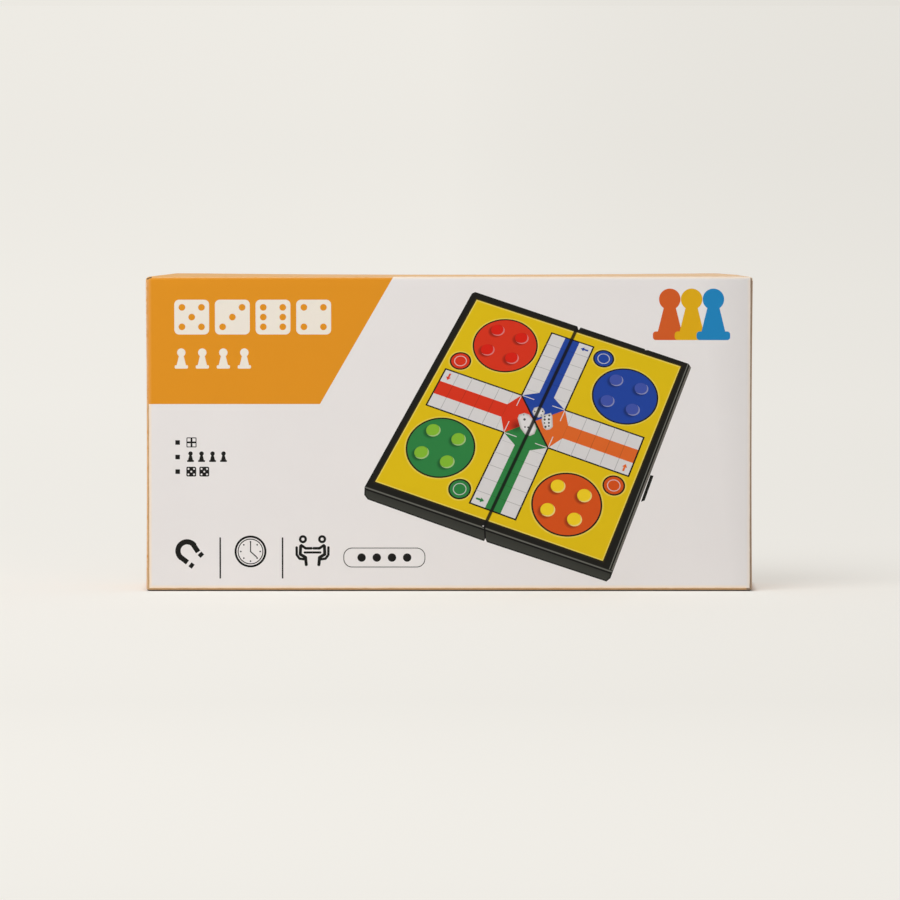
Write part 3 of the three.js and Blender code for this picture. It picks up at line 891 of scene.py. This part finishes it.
def makeLidSides():
    finish = Finish("lidCard")
    mix = finish.mix
    spot = printSpot(finish)
    x, y, z = finish.parts(finish.place)
    rise = walls["foldRise"]
    colour = sidesColour(finish, "lid")
    depth = y - float(boxOf("lid")[0][1])
    nearFront = finish.clamped(walls["foldFull"] + 1 / rise - depth, rise)
    slant = onSlant(finish, spot)
    onTop = z > walls["topFrom"]
    # painted sheen: the top is painted paler and yellower than the walls, as its grazing gloss looks
    colour = mix(onTop * walls["topSheenShare"], colour, walls["topPaintedSheen"])
    onTop = nearFront * onTop
    # painted highlight, partly worn print, on the crest of the top front fold, fainter over the orange
    colour = mix(onTop * (walls["topCrestHighlightShare"] - slant * walls["topCrestHighlightSlant"]), colour, front["crestWearAndHighlight"])
    # painted shade of the dent where it reaches the top
    colour = mix(onTop & dentShadeMask(finish, spot), colour, front["dentShade"])
    # painted shade: the right wall next to the front is darkened to the same shaded tan
    atRight = nearFront * (z < walls["topFrom"]) * (x > 0.0) * walls["rightShadeShare"]
    colour = mix(atRight, colour, front["shadedRightTan"])
    # painted shadow: a dark line along the foot of every wall, where it meets the floor
    colour = mix(finish.clamped(walls["footShadowFull"] + 1 / rise - z, rise), colour, front["footShadow"])
    gloss = finish.clamped(x * walls["glossRise"] + walls["gloss"])
    return cardFinish(finish, colour, coat=gloss, sheen=walls["sheen"])


def makeTraySides():
    finish = Finish("trayCard")
    colour = sidesColour(finish, "tray")
    return cardFinish(finish, colour, coat=walls["trayGloss"], sheen=walls["sheen"])


# the tray's back: a plain small ludo sheet in a white border, between four pawns and two dice. The
# sheet's side is in metres and the signs are in millimetres from the middle
backPrint = {
    "side": 0.088, "border": 0.53, "pawnX": (-74.0, -58.0), "pawnY": (-7.0, 27.0), "pawnSize": 20.0,
    "dieX": 66.0, "dice": ((-14.0, 5), (14.0, 3)), "dieHalf": 9.0,
}


def makeTrayBack():
    finish = Finish("trayBack")
    mix = finish.mix
    low, high = boxOf("tray")
    x, z = finish.parts(finish.place - (0.0, 0.0, float(low[2] + high[2]) / 2))[::2]
    spot = finish.joined(x * -1000, 0.0, z * -1000)
    colour = sidesColour(finish, "tray")
    for footY in backPrint["pawnY"]:
        for footX in backPrint["pawnX"]:
            sign = pawnSign(finish, spot, footX, footY, backPrint["pawnSize"])
            colour = mix(sign, colour, front["offWhite"])
    for dieY, pips in backPrint["dice"]:
        face, dots = dieSign(finish, spot, backPrint["dieX"], dieY, backPrint["dieHalf"], pips)
        colour = mix(face & (1.0 - dots), colour, front["offWhite"])
    u, v = x / -backPrint["side"], z / -backPrint["side"]
    reach = finish.calc("MAXIMUM", abs(u), abs(v))
    colour = mix(reach < backPrint["border"], colour, front["white"])
    return cardFinish(finish, mix(reach < 0.5, colour, ludoPattern(finish, u, v)))


greys = {
    "tone": (60, 3, ink(186, 180, 170), ink(203, 198, 188)), "speck": (1300, 3, 0.6, 5.0),
    "speckShare": 0.5, "dark": ink(120, 114, 106), "relief": (1100, 4, 0.3, 0.00006),
}


def makeGreyBoard():
    finish = Finish("greyBoard")
    speck = finish.patches(*greys["speck"]) * greys["speckShare"]
    colour = finish.mix(speck, finish.toned(*greys["tone"]), greys["dark"])
    return finish.done(greys["relief"], Base_Color=colour, Roughness=0.85, Specular_IOR_Level=0.2)


lidSides, traySides, greyBoard = makeLidSides(), makeTraySides(), makeGreyBoard()
frontSigns, frontPicture, frontMotif = makeFrontSigns(), makeFrontPicture(), makeFrontMotif()
trayBack = makeTrayBack()
print("print ready")

# card: the top sags along its rear and droops at its ends, the ends bow in, the front dips, and one
# corner is dented
card = {
    "thick": 0.0012, "radius": 0.0014, "cell": 0.009, "hair": 1e-6, "topSag": 0.0008, "sagPower": 3,
    "droop": 0.0015, "droopReach": 0.0065, "endBow": 0.00036, "bowPower": 3, "frontDip": 0.0005,
    "frontShare": 0.25, "footLift": 0.0001, "footPower": 8, "cornerPower": 12,
    "dentAt": (-0.1296, -0.0214, 0.1342), "dentReach": 0.0016, "dentDepth": 0.0005,
    "dentWay": (0.45, 0.35, -0.8),
}


# stops along one axis, close together at a fold, where tangents of equal steps of the turn
# angle space them evenly round the fold
def foldStops(low, high, between, openEnd=False, steps=4):
    radius = card["radius"]
    turn = np.tan(np.linspace(math.pi / 4, 0, steps + 1))
    start = low + radius * (1 - turn)
    end = np.array([high]) if openEnd else high - radius * (1 - turn[::-1])
    return np.unique(np.round(np.concatenate([start, between, end]), 9))


# a grid of points over two axes with the third one held, and its faces
def gridPanel(first, second, order, held, turned):
    a, b = np.meshgrid(first, second, indexing="ij")
    flat = {order[0]: a.ravel(), order[1]: b.ravel(), order[2]: np.full(a.size, held)}
    points = np.stack([flat["x"], flat["y"], flat["z"]], axis=1)
    index = np.arange(a.size).reshape(a.shape)
    corners = [index[:-1, :-1], index[1:, :-1], index[1:, 1:], index[:-1, 1:]]
    if turned:
        corners.reverse()
    return points, np.stack([c.ravel() for c in corners], axis=1)


# several panels as one surface: the points that they share are merged once rounded
def joinedPanels(panels, digits):
    points = np.concatenate([panel[0] for panel in panels])
    starts = np.cumsum([0] + [len(panel[0]) for panel in panels[:-1]])
    faces = np.concatenate([panel[1] + start for panel, start in zip(panels, starts)])
    merged, back = np.unique(np.round(points, digits), axis=0, return_inverse=True)
    return merged, back.reshape(-1)[faces]


# how the card gives: the top sags by a parabola along its length and droops by a bell curve at each
# end, the ends are drawn in between top and foot, the front dips by a parabola each way, and its
# foot is a little off the floor except at the two corners
def give(points, low, high):
    share = (points - (low + high) / 2) / ((high - low) / 2)
    rear = (share[:, 1] + 1) / 2
    dome = 1 - share ** 2
    moved = points.copy()
    upper = np.clip(share[:, 2], 0, 1) ** card["sagPower"]
    moved[:, 2] -= card["topSag"] * upper * dome[:, 0] * np.clip(rear, 0, 1)
    ends = np.exp(-((np.abs(points[:, 0]) - high[0]) / card["droopReach"]) ** 2)
    moved[:, 2] -= card["droop"] * upper * ends * np.clip(rear, 0, 1)
    moved[:, 0] -= card["endBow"] * share[:, 0] ** card["bowPower"] * np.clip(dome[:, 2], 0, 1)
    facing = np.clip(1 - rear / card["frontShare"], 0, 1)
    moved[:, 1] += card["frontDip"] * facing * dome[:, 0] * dome[:, 2]
    foot = np.clip(-share[:, 2], 0, 1) ** card["footPower"] * facing
    moved[:, 2] += card["footLift"] * foot * (1 - share[:, 0] ** card["cornerPower"])
    return moved


# A box open on one side: five grids on the sharp box, each point pushed out from the box inside
# the folds to the fold's radius
def cardShell(low, high, openRear, splitX=(), splitZ=()):
    radius = card["radius"]
    between = [np.append(np.arange(a + 2 * radius, b - 2 * radius, card["cell"]), b - 2 * radius)
               for a, b in zip(low, high)]
    xs = foldStops(low[0], high[0], np.concatenate([between[0], splitX]))
    zs = foldStops(low[2], high[2], np.concatenate([between[2], splitZ]))
    if openRear:
        ys = foldStops(low[1], high[1], between[1], openEnd=True)
    else:
        ys = -foldStops(-high[1], -low[1], -between[1], openEnd=True)[::-1]
    panels = [
        gridPanel(xs, zs, "xzy", low[1] if openRear else high[1], not openRear),
        gridPanel(xs, ys, "xyz", high[2], False),
        gridPanel(xs, ys, "xyz", low[2], True),
        gridPanel(ys, zs, "yzx", high[0], False),
        gridPanel(ys, zs, "yzx", low[0], True),
    ]
    flat, faces = joinedPanels(panels, 7)
    inner = np.clip(flat, low + radius, high - radius)
    if openRear:
        inner[:, 1] = np.maximum(flat[:, 1], low[1] + radius)
    else:
        inner[:, 1] = np.minimum(flat[:, 1], high[1] - radius)
    out = flat - inner
    normals = out / np.linalg.norm(out, axis=1, keepdims=True)
    return flat, inner + normals * radius, normals, faces


# A card box is two pieces that meet past the folds: the printed panel and the walls round it.
# Each has its inner side one card's thickness in, and a rim along the edges that only one face has
def cardPieces(name, node, openRear, printed, printSlot, wallFinish, splits=((), ())):
    low, high = boxOf(node)
    flat, pushed, normals, faces = cardShell(low, high, openRear, *splits)
    bent = give(pushed, *(np.array(corner) for corner in cadBounds))
    if openRear:
        away = np.linalg.norm(bent - np.array(card["dentAt"]), axis=1)
        press = np.exp(-(away / card["dentReach"]) ** 2) * card["dentDepth"]
        bent += press[:, None] * np.array(card["dentWay"])
    depth = flat[:, 1] - low[1] if openRear else high[1] - flat[:, 1]
    onPanel = depth[faces].max(axis=1) < 2 * card["radius"] + card["hair"]
    facing = depth[faces].max(axis=1) < card["hair"]
    pictured = printSlot(flat[faces].mean(axis=1))
    made = []
    sides = [wallFinish]
    for part, chosen, finishes in (("Print", onPanel, printed + sides), ("Walls", ~onPanel, sides)):
        used, back = np.unique(faces[chosen], return_inverse=True)
        outer = back.reshape(-1, 4)
        count = len(used)
        starts, ends = outer.ravel(), np.roll(outer, -1, axis=1).ravel()
        single = ~np.isin(starts * count + ends, ends * count + starts)
        starts, ends = starts[single], ends[single]
        rim = np.stack([ends, starts, starts + count, ends + count], axis=1)
        points = np.concatenate([bent[used], bent[used] - normals[used] * card["thick"]])
        plain = len(finishes)
        slots = np.full(2 * len(outer) + len(rim), plain)
        slots[:len(outer)] = np.where(facing, pictured, plain - 1)[chosen]
        made.append(meshPiece(name + part, points, [outer, outer[:, ::-1] + count, rim],
                              finishes + [greyBoard], slots))
    return made


# where the front's three prints meet: in pixels of the front view, and then in metres
cuts = {"signs": 338, "motif": 645, "motifFoot": 350}
split = {name: (cuts[name] - photo["middleX"]) / photo["pixelsPerMetre"] for name in ("signs", "motif")}
split["motifFoot"] = (photo["floorY"] - cuts["motifFoot"]) / photo["pixelsPerMetre"]


def lidSlot(middles):  # which of the three prints a face shows
    slots = np.full(len(middles), 1)
    slots[middles[:, 0] < split["signs"]] = 0
    slots[(middles[:, 0] > split["motif"]) & (middles[:, 2] > split["motifFoot"])] = 2
    return slots


def traySlot(middles):
    return np.zeros(len(middles), int)


def standIn(piece, body, slot, *nodes):
    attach(piece, body)
    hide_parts(*nodes)


for lidPart in cardPieces("lid", "lid", True, [frontSigns, frontPicture, frontMotif], lidSlot, lidSides,
                          ([split["signs"], split["motif"]], [split["motifFoot"]])):
    standIn(lidPart, "lid", "printed_card", "lid")
for trayPart in cardPieces("tray", "tray", False, [trayBack], traySlot, traySides):
    standIn(trayPart, "base", "tray_card", "tray")
print("card box ready")

# the folding board: its case, sheets and hinge pins keep their CAD shapes
sheet = {
    "side": 0.23, "axisZ": float(sum(boxOf("hinge_pin_left"))[2]) / 2, "rough": (50, 3, 0.1, 0.24),
    "relief": (900, 3, 0.06, 0.00003),
}
shell = {
    "tone": (40, 3, ink(27, 28, 26), ink(34, 35, 33)), "scratch": (180, 4, 0.62, 6.0, (1.0, 1.0, 9.0)),
    "scratchShare": 0.2, "scratchTone": ink(92, 92, 90), "rough": (60, 3, 0.12, 0.34),
    "scratchRough": 0.15, "relief": (2600, 2, 0.22, 0.00004),
}
metals = {
    "stretch": (0.06, 1.0, 3.0), "stain": (35, 4, 0.5, 2.5), "stainShare": 0.4,
    "steel": (ink(190, 190, 187), ink(146, 143, 137)), "steelRelief": (300, 4, 0.12, 0.00003),
    "nickel": (ink(176, 173, 166), ink(205, 203, 197)), "nickelRelief": (1800, 3, 0.08, 0.00002),
}


def makeCasePlastic():
    finish = Finish("casePlastic")
    scratch = finish.patches(*shell["scratch"])
    rough = finish.spread(*shell["rough"]) + scratch * shell["scratchRough"]
    scratch = scratch * shell["scratchShare"]
    colour = finish.mix(scratch, finish.toned(*shell["tone"]), shell["scratchTone"])
    return finish.done(shell["relief"], Base_Color=colour, Roughness=rough, Specular_IOR_Level=0.45)


def makePlayPrint():  # one pattern over both halves: it starts again from the hinge on each side
    finish = Finish("playPrint")
    x, y, z = finish.parts(finish.place)
    u = (z - sheet["axisZ"]) / sheet["side"] * finish.calc("SIGN", y)
    v = x / -sheet["side"]
    rough = finish.spread(*sheet["rough"])
    return finish.done(sheet["relief"], Base_Color=ludoPattern(finish, u, v), Roughness=rough,
                       Coat_Weight=0.35, Coat_Roughness=0.12)


def makeSteel():
    finish = Finish("steel")
    relief = metals["steelRelief"]
    grain = finish.noise(*relief[:2], metals["stretch"])
    colour = finish.mix(finish.patches(*metals["stain"]) * metals["stainShare"], *metals["steel"])
    return finish.done(relief, grain, Base_Color=colour, Metallic=1.0, Roughness=grain * 0.2 + 0.24)


def makeMagnet():
    finish = Finish("nickel")
    smudge = finish.noise(700, 3)
    colour = finish.mix(smudge, *metals["nickel"])
    return finish.done(metals["nickelRelief"], Base_Color=colour, Metallic=1.0,
                       Roughness=smudge * 0.18 + 0.12)


# the leaflet, in mm: a small diagram over grey rules that stand for text, and two creases
leaflet = {
    "side": 34.0, "middleZ": 84.0, "ruleStep": 2.0, "ruleHalf": 0.55, "column": (36.0, 28.0),
    "wave": 41.3, "waveHalf": 3.0, "waveAt": 60.0, "lower": (14.0, 60.0), "upper": (66.0, 100.0),
    "besideDiagram": 24.0, "ruleShare": 0.75, "creaseHalf": 0.5, "creaseZ": 55.5, "creaseShadeShare": 0.3,
    "creaseDepth": 0.6, "relief": (600, 4, 0.25, 0.00006),
    "paper": (90, 4, ink(228, 225, 216), ink(238, 235, 228)),
    "rule": ink(122, 120, 116), "crease": ink(190, 186, 176),
}


def makeLeafletPaper():
    finish = Finish("leafletPaper")
    mix = finish.mix
    x, z = finish.parts(finish.place * 1000)[::2]
    colour = finish.toned(*leaflet["paper"])
    u, v = x / -leaflet["side"], (leaflet["middleZ"] - z) / leaflet["side"]
    reach = finish.calc("MAXIMUM", abs(u), abs(v))
    middle, half = leaflet["column"]
    ruled = finish.calc("PINGPONG", z, leaflet["ruleStep"]) < leaflet["ruleHalf"]
    ruled = ruled & (abs(abs(x) - middle) < half)
    lineEnd = finish.calc("SINE", z * leaflet["wave"]) * leaflet["waveHalf"] + leaflet["waveAt"]
    lower, upper = ((z > foot) & (z < top) for foot, top in (leaflet["lower"], leaflet["upper"]))
    ruled = ruled & (abs(x) < lineEnd) & (lower | (upper & (abs(x) > leaflet["besideDiagram"])))
    colour = mix(ruled * leaflet["ruleShare"], colour, leaflet["rule"])
    colour = mix(reach < 0.5, colour, ludoPattern(finish, u, v))
    across, along = (finish.clamped(leaflet["creaseHalf"] - abs(away), 1 / leaflet["creaseHalf"])
                     for away in (x, z - leaflet["creaseZ"]))
    crease = across | along
    # painted shade: each crease is drawn darker grey, as well as pressed in by the bump
    colour = mix(crease * leaflet["creaseShadeShare"], colour, leaflet["crease"])
    relief = leaflet["relief"]
    bump = finish.noise(*relief[:2]) - crease * leaflet["creaseDepth"]
    return finish.done(relief, bump, Base_Color=colour, Roughness=0.72, Specular_IOR_Level=0.3)


casePlastic, playPrint, steel = makeCasePlastic(), makePlayPrint(), makeSteel()
nickel, leafletPaper = makeMagnet(), makeLeafletPaper()
nodeFinishes = {"case": casePlastic, "clasp": casePlastic, "steel": steel, "hinge": steel,
                "play": playPrint, "magnet": nickel, "rules": leafletPaper}
for nodeName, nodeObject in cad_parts.items():
    chosenFinish = nodeFinishes.get(nodeName.split("_")[0])
    for nodeSlot in nodeObject.material_slots if chosenFinish else ():
        nodeSlot.link = "OBJECT"
        nodeSlot.material = chosenFinish
print("node finishes ready")

# pawn: a low magnetic peg, its outline in mm from the magnet's pocket round to the dished head
pawn = {
    "steps": 64, "pocket": (4.15, 1.75), "lip": 0.15, "foot": 7.5, "footRound": 0.5, "footSteps": 6,
    "band": 2.0, "fillet": 0.35, "filletSteps": 5, "head": 6.1, "headRound": 0.7, "headSteps": 8,
    "height": 5.4, "dish": 4.7, "dishEnd": 0.25, "dishRings": 7, "dishDepth": 0.38,
    "colours": {"red": ink(208, 40, 32), "blue": ink(58, 76, 158), "green": ink(112, 172, 48),
                "yellow": ink(232, 194, 36)},
    "mottled": (0.94, 1.05), "rough": (400, 3, 0.12, 0.22), "relief": (900, 2, 0.06, 0.00004),
}


def arc(centre, radius, first, last, steps):  # points of a circle, its angles in degrees
    angles = np.radians(np.linspace(first, last, steps))
    return np.stack([centre[0] + radius * np.cos(angles), centre[1] + radius * np.sin(angles)], axis=1)


def pawnOutline():
    pocket, ceiling = pawn["pocket"]
    foot, footRound, band = pawn["foot"], pawn["footRound"], pawn["band"]
    head, headRound, height = pawn["head"], pawn["headRound"], pawn["height"]
    lip, fillet, footSteps = pawn["lip"], pawn["fillet"], pawn["footSteps"]
    dish = np.linspace(pawn["dish"], pawn["dishEnd"], pawn["dishRings"])
    bowl = np.stack([dish, height - pawn["dishDepth"] * (1 - (dish / pawn["dish"]) ** 2)], axis=1)
    return np.concatenate([
        [(pocket - lip, ceiling), (pocket, ceiling - lip), (pocket, lip), (pocket + lip, 0)],
        arc((foot - footRound, footRound), footRound, -90, 0, footSteps),
        arc((foot - footRound, band - footRound), footRound, 0, 90, footSteps),
        arc((head + fillet, band + fillet), fillet, -90, -180, pawn["filletSteps"]),
        arc((head - headRound, height - headRound), headRound, 0, 90, pawn["headSteps"]), bowl,
    ])


# a turned form about the Y axis: rings of points, quads between them and a fan at either end
def lathe(outline, centre, toward):
    steps = pawn["steps"]
    turn = np.linspace(0, 2 * math.pi, steps, endpoint=False)
    radius, height = outline[:, :1] / 1000, outline[:, 1:] / 1000
    ring = np.stack([radius * np.cos(turn), np.repeat(height, steps, 1), radius * np.sin(turn)], axis=2)
    ends = np.array([[0, outline[0, 1], 0], [0, outline[-1, 1], 0]]) / 1000
    points = np.concatenate([ring.reshape(-1, 3), ends])
    index = np.arange(len(outline) * steps).reshape(len(outline), steps)
    following = np.roll(index, -1, axis=1)
    quads = np.stack([index[:-1], following[:-1], following[1:], index[1:]], axis=-1).reshape(-1, 4)
    lowEnd, highEnd = len(points) - 2, len(points) - 1
    fans = np.concatenate([
        np.stack([following[0], index[0], np.full(steps, lowEnd)], axis=1),
        np.stack([index[-1], following[-1], np.full(steps, highEnd)], axis=1),
    ])
    if toward > 0:
        quads, fans = quads[:, ::-1], fans[:, ::-1]
    return points * (1, toward, 1) + centre, quads, fans


def makePawnPlastic(name, colour):
    finish = Finish(name)
    tone = finish.mottled(300, 2, colour, *pawn["mottled"])
    rough = finish.spread(*pawn["rough"])
    return finish.done(pawn["relief"], Base_Color=tone, Roughness=rough, Coat_Weight=0.2,
                       Coat_Roughness=0.15)


outline = pawnOutline()
for team, teamColour in pawn["colours"].items():
    plastic = makePawnPlastic(team + "Plastic", teamColour)
    for number in range(1, 5):
        nodeName = f"pawn_{team}_{number}"
        low, high = boxOf(nodeName)
        rear = low[1] > 0
        centre = (low + high) / 2
        centre[1] = high[1] if rear else low[1]
        points, quads, fans = lathe(outline, centre, -1 if rear else 1)
        peg = meshPiece(f"{team}Pawn{number}", points, [quads, fans], [plastic])
        standIn(peg, "board_rear" if rear else "board_front", "pawn_" + team, nodeName)
print("pawns ready")

# dice: a cube whose corners are cut by a sphere, with softened edges and a hollow for each pip
die = {
    "cells": 54, "edge": 0.0004, "ball": 0.71, "blend": 0.00012, "faceFrom": 0.9, "pipGap": 0.0026,
    "pipRadius": 0.00105, "pipReach": 1.3, "pipDepth": 0.0003, "pipEdge": 0.00012,
    "bone": ink(236, 232, 222), "pip": ink(26, 25, 24), "mottled": (0.95, 1.0),
    "rough": (350, 3, 0.14, 0.26), "relief": (1200, 2, 0.05, 0.00003),
    "faces": ((0, 1, 1), (0, -1, 6), (1, -1, 2), (1, 1, 5), (2, 1, 3), (2, -1, 4)),  # axis, side, pips
}
onePip, twoPips, otherTwo = ((0, 0),), ((-1, -1), (1, 1)), ((-1, 1), (1, -1))
pipPlaces = {
    1: onePip, 2: twoPips, 3: twoPips + onePip, 4: twoPips + otherTwo,
    5: twoPips + otherTwo + onePip, 6: twoPips + otherTwo + ((-1, 0), (1, 0)),
}


# points of a cube's six faces, pushed in at the edges, drawn back to the ball by a smooth
# least of the two radii, and pressed in over each pip by a bowl
def dieForm(half):
    stops = np.linspace(-half, half, die["cells"] + 1)
    panels = [gridPanel(stops, stops, order, side * half, (side > 0) != turned)
              for order, turned in (("xyz", True), ("yzx", True), ("xzy", False)) for side in (1, -1)]
    cube, faces = joinedPanels(panels, 8)
    inner = np.clip(cube, die["edge"] - half, half - die["edge"])
    out = cube - inner
    form = inner + out / np.maximum(np.linalg.norm(out, axis=1, keepdims=True), 1e-9) * die["edge"]
    reach = np.linalg.norm(form, axis=1)
    ball = die["ball"] * 2 * half
    cut = die["blend"] * np.logaddexp(0, (reach - ball) / die["blend"])
    form *= ((reach - cut) / reach)[:, None]
    marked = np.zeros(len(cube))
    for axis, side, count in die["faces"]:
        across = [other for other in range(3) if other != axis]
        pips = np.array(pipPlaces[count]) * die["pipGap"]
        gap = np.linalg.norm(form[:, None, across] - pips[None], axis=2).min(axis=1)
        onFace = form[:, axis] * side > half * die["faceFrom"]
        near = onFace & (gap < die["pipRadius"] * die["pipReach"])
        bowl = np.clip(1 - (gap / die["pipRadius"]) ** 2, 0, 1) * near
        form[:, axis] -= side * die["pipDepth"] * bowl
        inked = np.clip((die["pipRadius"] - gap) / die["pipEdge"] + 0.5, 0, 1)
        marked = np.maximum(marked, inked * near)
    return form, faces, marked


def makeDiePlastic():
    finish = Finish("diePlastic")
    marked = finish.node("ShaderNodeAttribute", {"attribute_name": "pip"}, output=2)
    tone = finish.mottled(250, 3, die["bone"], *die["mottled"])
    rough = finish.spread(*die["rough"])
    return finish.done(die["relief"], Base_Color=finish.mix(marked, tone, die["pip"]), Roughness=rough,
                       Coat_Weight=0.2, Coat_Roughness=0.2)


diePlastic = makeDiePlastic()
for side in ("left", "right"):
    low, high = boxOf("die_" + side)
    form, faces, marked = dieForm(float((high - low).min()) / 2)
    if side == "right":
        form = form[:, [1, 2, 0]]
    cube = meshPiece(side + "Die", form + (low + high) / 2, [faces], [diePlastic])
    pipShare = cube.data.attributes.new("pip", "FLOAT", "POINT")
    pipShare.data.foreach_set("value", marked.astype(np.float32))
    standIn(cube, "board_rear", "die", "die_" + side)
print("dice ready")
